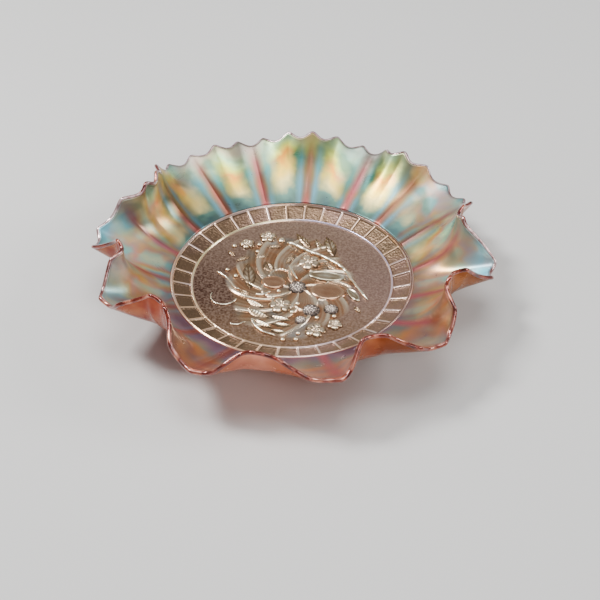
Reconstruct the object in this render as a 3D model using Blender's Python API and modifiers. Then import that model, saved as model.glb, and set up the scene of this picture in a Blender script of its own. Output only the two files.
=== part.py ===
"""A ruffled bowl of pressed glass, 9 inches across, on a collar foot.

The real bowl is one pressing. It is modelled here as the regions that its mould forms: the collar foot, the
medallion floor, the ring of blocks, the fluted wall, the rim bead, and the raised sprays on the floor. Each
region is a closed solid of its own, with a narrow gap to its neighbours.

Metres, +Z up. The bowl stands on the XY plane, with its axis on Z. Azimuth 0 faces -Y, and grows towards +X.
"""

import math

import bmesh
import bpy
from mathutils import Matrix, Vector

GAP = 0.0003  # between neighbouring regions
RIM_GAP = 0.0012  # measured along the wall's profile, where the teeth lean

# The pattern repeats round the bowl, and all of it is counted from one azimuth (degrees).
PATTERN_AZIMUTH = 13.0
FLUTES = 18
BLOCKS = 36
TEETH = 45
STEPS_PER_TOOTH = 4
RING_STEPS = 72

# Foot and floor
FOOT_RADIUS = 0.0460
FOOT_WIDTH = 0.0055
FOOT_HEIGHT = 0.0035
FLOOR_RADIUS = 0.0560
FLOOR_TOP = 0.0080
FLOOR_THICKNESS = FLOOR_TOP - FOOT_HEIGHT - GAP

# Ring of blocks, which climbs from the floor to the wall
RING_RADIUS = 0.0682
RING_TOP = 0.0120
RING_THICKNESS = 0.0038
BEAD_WIDTH = 0.0012
BEAD_HEIGHT = 0.0007
POCKET_DEPTH = 0.0011
POCKET_BEVEL = 0.0007
BAR_HALF_WIDTH = 0.0010

# Wall: every profile has the same length, and bends from one starting tilt to its own tilt at the rim.
WALL_RADIUS = RING_RADIUS + GAP
WALL_LENGTH = 0.0460
WALL_THICKNESS = 0.0030
WALL_ROWS = 6
START_TILT = 20.0
BEND_POWER = 1.2
FOLD_SHARPNESS = 1.25
FLUTE_DEPTH = 0.0007

# The ten ruffles, crimped by hand and so uneven: each (azimuth, tilt at the rim), flared and folded by turns.
RUFFLES = (
    (12, 37), (23, 88), (45, 30), (62, 98), (83, 18), (94, 98), (121, 14), (143, 51), (153, 22), (175, 48),
    (193, 26), (204, 34), (217, 23), (242, 111), (266, 32), (279, 100), (294, 37), (312, 105), (334, 33),
    (349, 79),
)

# Rim: a round bead along an edge whose teeth are deepest at the back and shallowest at the front
RIM_BEAD_RADIUS = 0.0013
TOOTH_HEIGHT = 0.0034
TOOTH_HEIGHT_SWING = 0.0012
TOOTH_SHARE_BELOW = 0.45

# Raised sprays on the floor: each height is the top above the floor. All the places below are in millimetres.
LEAF_HEIGHT = 0.0013
PETAL_HEIGHT = 0.0012
BLOSSOM_HEIGHT = 0.0016
BERRY_HEIGHT = 0.0018
BUD_HEIGHT = 0.0013

# (radius, route) of each stem
STEMS = {
    "branch": (
        1.3,
        (
            (-3, 34.5), (3, 31), (10, 25.5), (17.5, 21), (23.5, 16), (28, 11.5), (31.5, 5.5), (34, -1),
            (37.5, -9), (42, -18),
        ),
    ),
    "twig": (1.0, ((-22, -33), (-20.5, -38), (-16, -43.5), (-9, -47))),
    "stalk": (0.9, ((-1.5, 13), (0.5, 7), (3, 1))),
    "hook": (0.9, ((-20.5, -12.6), (-16, -12.4), (-12, -9.6))),
    "shoot": (0.6, ((-34, -37), (-29.5, -37.3), (-25.5, -35))),
    "tendril": (0.6, ((-43, 9), (-37, 3), (-32, -6), (-29.5, -7))),
}
CURL_RADIUS = 7.5
CURL_CENTRE = (-38.0, -13.0)
CURL_START, CURL_END = -0.3, -3.6

# (x, y, length, width, heading in degrees) of each pointed leaf: upper, left, fan, and lower
LEAVES = (
    (7.0, 36.0, 18, 5.5, 118), (22.5, 31.0, 20, 7.5, 101), (15.5, 32.5, 12, 4.0, 104),
    (22.8, 10.8, 11, 3.0, -42), (-1.0, 19.0, 10, 4.0, 58), (-13.5, 12.5, 11, 6.5, -68),
    (-17.5, 21.5, 8, 3.4, 15), (-28.5, 20.0, 9, 3.6, 25), (-10.0, 30.8, 9, 3.4, 5),
    (-35.0, 25.0, 7, 3.4, 125), (-24.5, 4.5, 24, 8.0, 95), (-26.5, -10.5, 8, 4.2, -35),
    (36.0, -26.0, 7, 3.0, -60), (-20.5, -20.0, 13, 4.5, -35), (-19.0, -28.0, 16, 6.0, -33),
    (-16.0, -36.8, 13, 4.0, -35), (-7.5, -43.5, 10, 3.2, -15), (-6.5, -32.5, 13, 4.0, -18),
    (-5.5, -38.0, 12, 3.4, -10),
)
# The same of each broad, smooth petal
PETALS = (
    (-10.5, -1.5, 15, 11.5, 165), (19.8, -10.3, 21.2, 14.5, -12), (19.5, 3.3, 23, 8.6, -12),
    (34.2, -13.5, 13, 5.2, -62),
)
# (x, y, radius) of each five-petalled blossom, seeded berry and small round bud
BLOSSOMS = (
    (-14.0, 40.0, 5.2), (-26.0, 33.5, 4.6), (10.0, 16.0, 6.8), (-6.5, -22.0, 6.5), (12.5, -43.0, 6.0),
    (23.0, -38.5, 4.6),
)
BERRIES = ((3.0, -6.0, 5.2), (10.5, -26.0, 5.0), (21.5, -25.5, 4.2), (4.5, -34.5, 3.4))
BUDS = (
    (-6.0, 37.0, 2.2), (-19.0, 33.0, 1.5), (-20.0, 26.5, 1.5), (-33.5, 32.0, 1.6), (-37.0, 10.0, 1.4),
    (-32.0, 4.5, 1.5), (-7.5, -9.5, 1.4), (3.0, -20.5, 1.5), (0.0, -27.5, 1.6), (13.5, -32.5, 1.5),
    (23.0, -31.5, 1.5), (3.2, -45.3, 1.4), (-5.0, -50.0, 1.6), (2.0, -50.0, 1.5),
)


def clear_scene():
    for obj in list(bpy.data.objects):
        bpy.data.objects.remove(obj, do_unlink=True)


def new_collection(name):
    collection = bpy.data.collections.new(name)
    bpy.context.scene.collection.children.link(collection)
    return collection


def glass(name, colour, roughness=0.16, metallic=0.0):
    """Iridised marigold glass: its film hides most of what lies behind it."""
    material = bpy.data.materials.new(name)
    material.use_nodes = True
    shader = material.node_tree.nodes["Principled BSDF"]
    shader.inputs["Base Color"].default_value = (*colour, 1.0)
    shader.inputs["Roughness"].default_value = roughness
    shader.inputs["Metallic"].default_value = metallic
    shader.inputs["IOR"].default_value = 1.52
    return material


def object_from_bmesh(name, mesh_data, collection, material=None):
    mesh = bpy.data.meshes.new(name)
    mesh_data.to_mesh(mesh)
    mesh_data.free()
    obj = bpy.data.objects.new(name, mesh)
    collection.objects.link(obj)
    if material:
        mesh.materials.append(material)
        mesh.shade_smooth()
        mesh.set_sharp_from_angle(angle=math.radians(40))
    return obj


def around(radius, height, azimuth):
    """The point at this radius and height, at an azimuth in degrees."""
    turn = math.radians(azimuth)
    return Vector((radius * math.sin(turn), -radius * math.cos(turn), height))


def turned(name, profile, collection, material):
    """A closed (radius, height) profile turned once round Z."""
    outline = bmesh.new()
    start = [outline.verts.new(around(radius, height, 90.0 + PATTERN_AZIMUTH)) for radius, height in profile]
    for here, there in zip(start, start[1:] + start[:1]):
        outline.edges.new((here, there))
    obj = object_from_bmesh(name, outline, collection, material)
    screw = obj.modifiers.new("Turn", "SCREW")
    screw.steps = RING_STEPS
    screw.render_steps = RING_STEPS
    screw.use_merge_vertices = True
    screw.merge_threshold = 0.00001
    return obj


# Foot, floor and ring of blocks


def collar_foot(collection):
    inner = FOOT_RADIUS - FOOT_WIDTH
    edge = 0.0008
    profile = (
        (inner, FOOT_HEIGHT),
        (FOOT_RADIUS + edge, FOOT_HEIGHT),
        (FOOT_RADIUS, edge),
        (FOOT_RADIUS - edge, 0.0),
        (inner + edge, 0.0),
        (inner, edge),
    )
    return turned("collar_foot", profile, collection, glass("foot_glass", (0.62, 0.30, 0.12)))


def medallion_floor(collection):
    disc = bmesh.new()
    radius = FLOOR_RADIUS - GAP
    bmesh.ops.create_cone(
        disc, cap_ends=True, segments=RING_STEPS, radius1=radius, radius2=radius, depth=FLOOR_THICKNESS
    )
    bmesh.ops.translate(disc, verts=disc.verts, vec=(0, 0, FLOOR_TOP - FLOOR_THICKNESS / 2))
    return object_from_bmesh("medallion_floor", disc, collection, glass("floor_glass", (0.50, 0.36, 0.26), 0.30))


def ring_height(radius):
    """Height of the ring's face between its two beads."""
    return FLOOR_TOP + (radius - FLOOR_RADIUS) / (RING_RADIUS - FLOOR_RADIUS) * (RING_TOP - FLOOR_TOP)


def ring_profile():
    slant = math.radians(START_TILT)
    below = (RING_THICKNESS * math.sin(slant), -RING_THICKNESS * math.cos(slant))
    profile = []
    for inner in (RING_RADIUS - BEAD_WIDTH, FLOOR_RADIUS):
        for share, lift in ((1.0, 0.0), (0.75, 1.0), (0.25, 1.0), (0.0, 0.0)):
            radius = inner + share * BEAD_WIDTH
            profile.append((radius, ring_height(radius) + lift * BEAD_HEIGHT))
    profile.append((FLOOR_RADIUS, FLOOR_TOP - RING_THICKNESS))
    profile.append((RING_RADIUS + below[0], RING_TOP + below[1]))
    return profile[::-1]


def pocket_corner(azimuth, outwards, sideways, upwards):
    """One corner of a block's pocket, whose sides are radial and slope in towards its floor."""
    shrink = 0.0 if upwards > 0 else POCKET_BEVEL
    half_length = (RING_RADIUS - FLOOR_RADIUS) / 2 - BEAD_WIDTH - shrink
    radius = (RING_RADIUS + FLOOR_RADIUS) / 2 + outwards * half_length
    half_width = math.pi * radius / BLOCKS - BAR_HALF_WIDTH - shrink
    lift = POCKET_BEVEL if upwards > 0 else -POCKET_DEPTH
    corner = around(radius, ring_height(radius) + lift, azimuth)
    along_rim = around(1.0, 0.0, azimuth + 90.0)
    return corner + along_rim * (sideways * half_width)


def pocket_cutter(cutters):
    """One tapered box for each block, halfway between its two bars."""
    boxes = bmesh.new()
    for block in range(BLOCKS):
        azimuth = PATTERN_AZIMUTH + (block + 0.5) * 360.0 / BLOCKS
        for vert in bmesh.ops.create_cube(boxes, size=2.0)["verts"]:
            vert.co = pocket_corner(azimuth, *vert.co)
    bmesh.ops.recalc_face_normals(boxes, faces=boxes.faces)
    cutter = object_from_bmesh("pocket_cutter", boxes, cutters)
    cutter.hide_render = True
    cutter.display_type = "WIRE"
    return cutter


def block_ring(collection, cutters):
    ring = turned("block_ring", ring_profile(), collection, glass("ring_glass", (0.56, 0.38, 0.27), 0.22))
    cut = ring.modifiers.new("Pockets", "BOOLEAN")
    cut.operation = "DIFFERENCE"
    cut.solver = "EXACT"
    cut.object = pocket_cutter(cutters)
    return ring


# Ruffled wall and rim


def rim_tilt(azimuth):
    """Tilt of the wall at the rim, blended smoothly between the listed ruffles."""
    for (start, low), (end, high) in zip(RUFFLES, RUFFLES[1:] + RUFFLES[:1]):
        span = (end - start) % 360
        share = ((azimuth - start) % 360) / span
        if share <= 1.0:
            rise = (1 - math.cos(math.pi * share)) / 2
            rise_power = rise**FOLD_SHARPNESS
            return low + (high - low) * rise_power / (rise_power + (1 - rise) ** FOLD_SHARPNESS)
    raise ValueError(f"no ruffle spans azimuth {azimuth}")


def profile_length(azimuth):
    """Length of the profile from the ring to the toothed edge."""
    tooth = 1 - abs(math.sin(math.pi * (azimuth - PATTERN_AZIMUTH) * TEETH / 360))
    height = TOOTH_HEIGHT - TOOTH_HEIGHT_SWING * math.cos(math.radians(azimuth))
    return WALL_LENGTH + height * (tooth - TOOTH_SHARE_BELOW)


def wall_point(azimuth, along, depth=0.0):
    """The point this far along the wall's profile, and this deep below its inner face."""
    at_rim = rim_tilt(azimuth)
    radius, height = WALL_RADIUS, RING_TOP
    pieces = 24
    for piece in range(pieces):
        share = (piece + 0.5) / pieces * along / profile_length(azimuth)
        tilt = math.radians(START_TILT + (at_rim - START_TILT) * share**BEND_POWER)
        radius += along / pieces * math.cos(tilt)
        height += along / pieces * math.sin(tilt)
    tilt = math.radians(START_TILT + (at_rim - START_TILT) * (along / profile_length(azimuth)) ** BEND_POWER)
    return around(radius + depth * math.sin(tilt), height - depth * math.cos(tilt), azimuth)


def flute_rise(azimuth, share):
    """Height of the ribs between the concave flutes, which fades out at both ends of the wall."""
    across = ((azimuth - PATTERN_AZIMUTH) * FLUTES / 360) % 1.0
    return FLUTE_DEPTH * (2 * across - 1) ** 2 * math.sin(math.pi * share) ** 0.5


def fluted_wall(collection):
    """A grid rolled into a ring, bent to the ruffles, and thickened outwards."""
    steps = TEETH * STEPS_PER_TOOTH
    sheet = bmesh.new()
    bmesh.ops.create_grid(sheet, x_segments=steps, y_segments=WALL_ROWS, size=0.5)
    for vert in sheet.verts:
        azimuth = PATTERN_AZIMUTH + 360.0 * (vert.co.x + 0.5)
        share = min(max(vert.co.y + 0.5, 0.0), 1.0)
        end = profile_length(azimuth) - 2 * RIM_BEAD_RADIUS - RIM_GAP
        vert.co = wall_point(azimuth, share * end, -flute_rise(azimuth, share))
    bmesh.ops.remove_doubles(sheet, verts=sheet.verts, dist=0.00001)
    bmesh.ops.recalc_face_normals(sheet, faces=sheet.faces)
    wall = object_from_bmesh("fluted_wall", sheet, collection, glass("wall_glass", (0.66, 0.52, 0.34), 0.20, 0.3))
    shell = wall.modifiers.new("Thickness", "SOLIDIFY")
    shell.thickness = WALL_THICKNESS
    shell.offset = -1.0 if faces_inwards(wall.data) else 1.0
    return wall


def faces_inwards(mesh):
    """Whether the sheet's first face points at the bowl's axis or up, which is its inner side."""
    face = mesh.polygons[0]
    inwards = Vector((-face.center.x, -face.center.y, 0.0)).normalized() + Vector((0.0, 0.0, 1.0))
    return face.normal.dot(inwards) > 0


def rim_bead(collection):
    """A round bead that follows the toothed edge."""
    data = bpy.data.curves.new("rim_bead", "CURVE")
    data.dimensions = "3D"
    data.bevel_depth = RIM_BEAD_RADIUS
    data.bevel_resolution = 2
    spline = data.splines.new("POLY")
    steps = TEETH * STEPS_PER_TOOTH
    spline.points.add(steps - 1)
    for step, point in enumerate(spline.points):
        azimuth = PATTERN_AZIMUTH + 360.0 * step / steps
        along = profile_length(azimuth) - RIM_BEAD_RADIUS
        point.co = (*wall_point(azimuth, along, WALL_THICKNESS / 2), 1.0)
    spline.use_cyclic_u = True
    spline.use_smooth = True
    data.materials.append(glass("rim_glass", (0.45, 0.12, 0.07), 0.08))
    bead = bpy.data.objects.new("rim_bead", data)
    collection.objects.link(bead)
    return bead


# Raised sprays on the floor


def relief_material():
    return glass("relief_glass", (0.70, 0.58, 0.42), 0.15, 0.2)


def on_floor(x, y):
    """A point of the floor given in millimetres, just clear of its surface."""
    return Vector((x / 1000, y / 1000, FLOOR_TOP + GAP))


def stem(name, radius, route, collection):
    """A round stem lying on the floor, thinner at its end. Its radius and route are in millimetres."""
    data = bpy.data.curves.new(name, "CURVE")
    data.dimensions = "3D"
    data.bevel_depth = radius / 1000
    data.bevel_resolution = 1
    data.resolution_u = 3
    data.use_fill_caps = True
    spline = data.splines.new("BEZIER")
    spline.bezier_points.add(len(route) - 1)
    for step, (point, (x, y)) in enumerate(zip(spline.bezier_points, route)):
        point.co = on_floor(x, y) + Vector((0, 0, radius / 1000))
        point.radius = 1.0 - 0.5 * step / (len(route) - 1)
        point.handle_left_type = point.handle_right_type = "AUTO"
    data.materials.append(relief_material())
    obj = bpy.data.objects.new(name, data)
    collection.objects.link(obj)
    return obj


def curl_route():
    """Points round the curled end of the tendril."""
    count = 9
    for step in range(count):
        turn = CURL_START + (CURL_END - CURL_START) * step / (count - 1)
        yield CURL_CENTRE[0] + CURL_RADIUS * math.cos(turn), CURL_CENTRE[1] + CURL_RADIUS * math.sin(turn)


def dome(name, x, y, height, outline, collection, segments=12):
    """A low dome with a flat underside, whose outline gives its reach in millimetres at each angle."""
    ball = bmesh.new()
    bmesh.ops.create_uvsphere(ball, u_segments=segments, v_segments=4, radius=1.0)
    for vert in ball.verts:
        reach = math.hypot(vert.co.x, vert.co.y) / 1000
        along, across = outline(math.atan2(vert.co.y, vert.co.x))
        vert.co = Vector((reach * along, reach * across, max(vert.co.z, 0.0) * height))
    bmesh.ops.translate(ball, verts=ball.verts, vec=on_floor(x, y))
    return object_from_bmesh(name, ball, collection, relief_material())


def oval(length, width, heading, sharpness=0.0):
    """The outline of an oval, which comes to a point at both tips as its sharpness grows."""
    turn = math.radians(heading)

    def outline(angle):
        along = math.cos(angle) * length / 2
        across = math.sin(angle) * abs(math.sin(angle)) ** sharpness * width / 2
        return (
            along * math.cos(turn) - across * math.sin(turn),
            along * math.sin(turn) + across * math.cos(turn),
        )

    return outline


def five_petals(radius):
    """The outline of a blossom."""

    def outline(angle):
        reach = radius * (0.84 + 0.16 * math.cos(5 * angle))
        return reach * math.cos(angle), reach * math.sin(angle)

    return outline


def sprays(collection):
    for name, (radius, route) in STEMS.items():
        stem(name, radius, route, collection)
    stem("tendril_curl", STEMS["tendril"][0], tuple(curl_route()), collection)
    for number, (x, y, length, width, heading) in enumerate(LEAVES, 1):
        dome(f"leaf_{number}", x, y, LEAF_HEIGHT, oval(length, width, heading, 0.6), collection)
    for number, (x, y, length, width, heading) in enumerate(PETALS, 1):
        dome(f"petal_{number}", x, y, PETAL_HEIGHT, oval(length, width, heading), collection, segments=20)
    for number, (x, y, radius) in enumerate(BLOSSOMS, 1):
        dome(f"blossom_{number}", x, y, BLOSSOM_HEIGHT, five_petals(radius), collection, segments=20)
    for number, (x, y, radius) in enumerate(BERRIES, 1):
        dome(f"berry_{number}", x, y, BERRY_HEIGHT, oval(2 * radius, 2 * radius, 0), collection)
    for number, (x, y, radius) in enumerate(BUDS, 1):
        dome(f"bud_{number}", x, y, BUD_HEIGHT, oval(2 * radius, 2 * radius, 0), collection, segments=8)


def main():
    clear_scene()
    bowl = new_collection("ruffled_glass_bowl")
    cutters = new_collection("cutters")
    collar_foot(bowl)
    medallion_floor(bowl)
    block_ring(bowl, cutters)
    fluted_wall(bowl)
    rim_bead(bowl)
    sprays(bowl)


main()
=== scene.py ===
import math

import bmesh
import bpy
import numpy as np
from mathutils import Matrix, Vector, noise


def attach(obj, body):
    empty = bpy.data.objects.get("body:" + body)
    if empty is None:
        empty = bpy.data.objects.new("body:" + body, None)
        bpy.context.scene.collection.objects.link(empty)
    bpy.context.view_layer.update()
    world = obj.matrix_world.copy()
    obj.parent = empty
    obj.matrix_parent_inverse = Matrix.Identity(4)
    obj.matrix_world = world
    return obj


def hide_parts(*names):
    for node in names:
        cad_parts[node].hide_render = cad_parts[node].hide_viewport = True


# A ruffled bowl of iridised marigold glass. Each visible piece stands for the CAD node of the same region
# and follows the same surface, with a finer mesh: the flutes and blocks are rounded, and the sprays have
# veins, petals and seeds.
# Metres, +Z up. Azimuth 0 faces -Y, and grows towards +X.

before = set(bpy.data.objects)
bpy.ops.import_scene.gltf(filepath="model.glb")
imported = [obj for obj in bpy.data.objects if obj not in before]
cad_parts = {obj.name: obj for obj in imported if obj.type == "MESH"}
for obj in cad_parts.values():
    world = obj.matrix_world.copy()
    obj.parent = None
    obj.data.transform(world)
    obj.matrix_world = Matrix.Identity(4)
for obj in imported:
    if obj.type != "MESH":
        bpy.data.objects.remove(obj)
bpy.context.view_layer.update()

MM = 0.001

# The pattern repeats round the bowl, and all of it is counted from one azimuth (degrees).
PATTERN_AZIMUTH = 13.0
FLUTES = 18
BLOCKS = 36
TEETH = 45

# Foot and floor
FOOT_RADIUS = 0.0460
FOOT_WIDTH = 0.0055
FOOT_CORNER = 0.0012
FOOT_SPREAD_OUT = 0.0012  # how much further out its outer side is at the top than at the bottom
FOOT_SPREAD_IN = 0.0008  # and how much further in its inner side is
FOOT_SUNK = 0.0002  # how far its top reaches into the floor
FOOT_STEPS = 360
FLOOR_RADIUS = 0.0560
FLOOR_TOP = 0.0080
FLOOR_UNDERSIDE = 0.0038
FLOOR_STEPS = 870
FLOOR_RINGS = 111
FLOOR_CAP_RADIUS = 0.0003  # the small flat cap in its middle
FLOOR_OVERLAP = 0.0002  # how far it reaches into the ring
FLOOR_UNDER_RADII = (0.002, 0.030, 0.0562)  # where its underside has its points
FLOOR_STIPPLE_SIZE = 0.0012
FLOOR_STIPPLE_DEPTH = 0.0003
FLOOR_STIPPLE_FADE = 0.0015  # the stipple fades out over this width beside the ring

# Ring of blocks
RING_RADIUS = 0.0682
RING_TOP = 0.0120
BEAD_WIDTH = 0.0012
BEAD_HEIGHT = 0.0007
POCKET_DEPTH = 0.0009
POCKET_BEVEL = 0.0008
BAR_HALF_WIDTH = 0.0005
RING_ROWS = 42
RING_OVERLAP = 0.0003  # how far it reaches out to meet the wall
RING_STIPPLE_SIZE = 0.0011
RING_STIPPLE_DEPTH = 0.0004
RING_INNER_RADIUS = 0.0555
RING_INNER_DROP = 0.0004  # how far its inner side stays below the floor's face
# (radius, height) along its underside, from outside to inside
RING_UNDERSIDE = (
    (0.0698, 0.0084), (0.0640, 0.0064), (0.0600, 0.0050), (0.0570, 0.0041),
    (RING_INNER_RADIUS, FLOOR_UNDERSIDE),
)

# Wall
WALL_RADIUS = 0.0685
WALL_LENGTH = 0.0460
START_TILT = 20.0  # degrees from level, where the wall leaves the ring
BEND_POWER = 1.2  # above 1, the wall bends mostly near the rim
FOLD_SHARPNESS = 1.25
FLUTE_DEPTH = 0.0009
WALL_THICKNESS = 0.0038
WALL_THINS_LOW = 0.0010  # how much it thins in its lowest quarter
WALL_THINS_HIGH = 0.0007  # and in its upper half
WALL_ROWS = 44
WALL_STOPS_SHORT = 0.0012  # about how far before the edge it ends, inside the rim bead
RIM_BEAD_RADIUS = 0.00115
RIM_BEAD_SIDES = 16
RIM_BEAD_INSET = 0.0001  # how far the bead stays behind the edge
TOOTH_HEIGHT = 0.0034
TOOTH_HEIGHT_SWING = 0.0012  # the teeth are deepest at the back
TOOTH_SHARE_BELOW = 0.45
TOOTH_TIP = 0.10  # how round the tips are

# The ten ruffles, as (azimuth, tilt at the rim) in degrees, flared and folded by turns.
RUFFLES = (
    (12, 37), (23, 88), (45, 30), (62, 98), (83, 18), (94, 98), (121, 14), (143, 51), (153, 22), (175, 48),
    (193, 26), (204, 34), (217, 23), (242, 111), (266, 32), (279, 100), (294, 37), (312, 105), (334, 33),
    (349, 79),
)

# Sprays on the floor: all of their places and heights are in millimetres.
FIRST_FEATHER = 14  # from this leaf on, the leaves are the long ribbed ones of the fan
# From the third petal on, the petals take the fan's brighter film as a painted reflection.
FIRST_REFLECTION_PETAL = 3  # from this petal on, the petals have the fan's film
LEAF_HEIGHT = 1.3
PETAL_HEIGHT = 1.2
BLOSSOM_HEIGHT = 1.6
BERRY_HEIGHT = 1.8
BUD_HEIGHT = 1.3
# (radius, route) of each stem
STEMS = {
    "branch": (
        1.3,
        (
            (-3, 34.5), (3, 31), (10, 25.5), (17.5, 21), (23.5, 16), (28, 11.5), (31.5, 5.5), (34, -1),
            (37.5, -9), (42, -18),
        ),
    ),
    "twig": (1.0, ((-22, -33), (-20.5, -38), (-16, -43.5), (-9, -47))),
    "stalk": (0.9, ((-1.5, 13), (0.5, 7), (3, 1))),
    "hook": (0.9, ((-20.5, -12.6), (-16, -12.4), (-12, -9.6))),
    "shoot": (0.6, ((-34, -37), (-29.5, -37.3), (-25.5, -35))),
    "tendril": (0.6, ((-43, 9), (-37, 3), (-32, -6), (-29.5, -7))),
}
CURL_RADIUS = 7.5
CURL_CENTRE = (-38.0, -13.0)
CURL_START = -0.3  # radians
CURL_END = -3.6

# (x, y, length, width, heading in degrees) of each pointed leaf: upper, left, fan, and lower
LEAVES = (
    (7.0, 36.0, 18, 5.5, 118), (22.5, 31.0, 20, 7.5, 101), (15.5, 32.5, 12, 4.0, 104),
    (22.8, 10.8, 11, 3.0, -42), (-1.0, 19.0, 10, 4.0, 58), (-13.5, 12.5, 11, 6.5, -68),
    (-17.5, 21.5, 8, 3.4, 15), (-28.5, 20.0, 9, 3.6, 25), (-10.0, 30.8, 9, 3.4, 5),
    (-35.0, 25.0, 7, 3.4, 125), (-24.5, 4.5, 24, 8.0, 95), (-26.5, -10.5, 8, 4.2, -35),
    (36.0, -26.0, 7, 3.0, -60), (-20.5, -20.0, 13, 4.5, -35), (-19.0, -28.0, 16, 6.0, -33),
    (-16.0, -36.8, 13, 4.0, -35), (-7.5, -43.5, 10, 3.2, -15), (-6.5, -32.5, 13, 4.0, -18),
    (-5.5, -38.0, 12, 3.4, -10),
)
# The same of each broad, smooth petal
PETALS = (
    (-10.5, -1.5, 15, 11.5, 165), (19.8, -10.3, 21.2, 14.5, -12), (19.5, 3.3, 23, 8.6, -12),
    (34.2, -13.5, 13, 5.2, -62),
)
# (x, y, radius) of each five-petalled blossom, seeded berry and small round bud
BLOSSOMS = (
    (-14.0, 40.0, 5.2), (-26.0, 33.5, 4.6), (10.0, 16.0, 6.8), (-6.5, -22.0, 6.5), (12.5, -43.0, 6.0),
    (23.0, -38.5, 4.6),
)
BERRIES = ((3.0, -6.0, 5.2), (10.5, -26.0, 5.0), (21.5, -25.5, 4.2), (4.5, -34.5, 3.4))
BUDS = (
    (-6.0, 37.0, 2.2), (-19.0, 33.0, 1.5), (-20.0, 26.5, 1.5), (-33.5, 32.0, 1.6), (-37.0, 10.0, 1.4),
    (-32.0, 4.5, 1.5), (-7.5, -9.5, 1.4), (3.0, -20.5, 1.5), (0.0, -27.5, 1.6), (13.5, -32.5, 1.5),
    (23.0, -31.5, 1.5), (3.2, -45.3, 1.4), (-5.0, -50.0, 1.6), (2.0, -50.0, 1.5),
)
# The great flower under the sprays, also in millimetres. Its swirled petals are shallow ridges of the
# floor's face.
FLOWER_CENTRE = (3.0, -6.0)
FLOWER_HALF_WIDTH = 36.0
FLOWER_HALF_LENGTH = 46.0
FLOWER_EDGE_CENTRE = (-1.0, -3.0)
FLOWER_HEIGHT = 1.0
SUNK = 0.2  # how far a spray's underside lies below the floor's face

AROUND_STEPS = 1080  # points round the wall, the rim and the ring

# Stage: the camera's lens and sensor are in millimetres, and its angles in degrees.
CAMERA_PLACE = (0.00443, -0.590, 0.495)
CAMERA_LOOK_DOWN = 40.36
CAMERA_ROLL = 0.55
CAMERA_LENS = 81.0
CAMERA_SENSOR = 36.0
BOWL_MIDDLE = (0, 0, 0.02)  # where the lights point


# Meshes


def around(radius, height, azimuth):
    """Points at these radii and heights, at azimuths in degrees."""
    turn = np.radians(azimuth)
    return np.stack(np.broadcast_arrays(radius * np.sin(turn), -radius * np.cos(turn), height), -1)


def even_azimuths(steps):
    """Azimuths spread evenly round the bowl, from where its pattern starts."""
    return PATTERN_AZIMUTH + 360.0 * np.arange(steps) / steps


def unit(vectors):
    """The same directions with a length of one."""
    return vectors / np.linalg.norm(vectors, axis=-1, keepdims=True)


def grid_faces(rows, columns, rows_close=False):
    """Quads of a grid whose rows are closed loops. With rows_close, its last row joins its first."""
    starts = np.arange(rows if rows_close else rows - 1)
    row, column = np.meshgrid(starts, np.arange(columns), indexing="ij")
    beside = (column + 1) % columns
    here = row * columns
    above = (row + 1) % rows * columns
    corners = (here + column, here + beside, above + beside, above + column)
    return np.stack(corners, -1).reshape(-1, 4).tolist()


def new_piece(name, points, faces, materials, stands_for):
    """A smooth piece that rides on the bowl's one body."""
    mesh = bpy.data.meshes.new(name)
    mesh.from_pydata(np.asarray(points).reshape(-1, 3).tolist(), [], faces)
    shell = bmesh.new()
    shell.from_mesh(mesh)
    bmesh.ops.recalc_face_normals(shell, faces=shell.faces)
    shell.to_mesh(mesh)
    shell.free()
    mesh.shade_smooth()
    for material in materials:
        mesh.materials.append(material)
    piece = bpy.data.objects.new(name, mesh)
    bpy.context.scene.collection.objects.link(piece)
    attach(piece, "root")
    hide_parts(*stands_for)
    return piece


def set_numbers(piece, shape, **layers):
    """Stores a number for each point of a mesh of this shape, which a material reads by its name."""
    for name, values in layers.items():
        layer = piece.data.attributes.new(name, "FLOAT", "POINT")
        layer.data.foreach_set("value", np.broadcast_to(values, shape).astype(np.float32).ravel())


def ring_solid(name, sections, materials, stands_for):
    """A closed solid from sections[step round its profile, step round the bowl]."""
    faces = grid_faces(*sections.shape[:2], rows_close=True)
    return new_piece(name, sections, faces, materials, stands_for)


def lofted(name, sections, materials, stands_for):
    """A closed solid through sections, each a closed loop of points, with both ends capped."""
    rows, columns = sections.shape[:2]
    faces = grid_faces(rows, columns)
    faces.append(list(range(columns)))
    faces.append(list(range((rows - 1) * columns, rows * columns)))
    return new_piece(name, sections, faces, materials, stands_for)


def use_second_material(piece, faces):
    """Gives the faces of these numbers the piece's second material."""
    for index in faces:
        piece.data.polygons[index].material_index = 1


def smooth(share):
    """0 below 0, 1 above 1, and an easy slope between."""
    held = np.clip(share, 0.0, 1.0)
    return held * held * (3 - 2 * held)


# Wall and rim


def rim_tilt(azimuths):
    """Tilt of the wall at the rim, blended smoothly between the listed ruffles."""
    tilts = np.zeros_like(azimuths)
    for (start, low), (end, high) in zip(RUFFLES, RUFFLES[1:] + RUFFLES[:1]):
        span = (end - start) % 360
        share = ((azimuths - start) % 360) / span
        rise = (1 - np.cos(math.pi * np.minimum(share, 1.0))) / 2
        rise_power = rise**FOLD_SHARPNESS
        tilt = low + (high - low) * rise_power / (rise_power + (1 - rise) ** FOLD_SHARPNESS)
        tilts = np.where(share <= 1.0, tilt, tilts)
    return tilts


def profile_length(azimuths):
    """Length of the profile from the ring to the toothed edge, whose tips are slightly rounded."""
    wave = np.sin(math.pi * (azimuths - PATTERN_AZIMUTH) * TEETH / 360)
    tooth = 1 - (np.sqrt(wave**2 + TOOTH_TIP**2) - TOOTH_TIP)
    height = TOOTH_HEIGHT - TOOTH_HEIGHT_SWING * np.cos(np.radians(azimuths))
    return WALL_LENGTH + height * (tooth - TOOTH_SHARE_BELOW)


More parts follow.
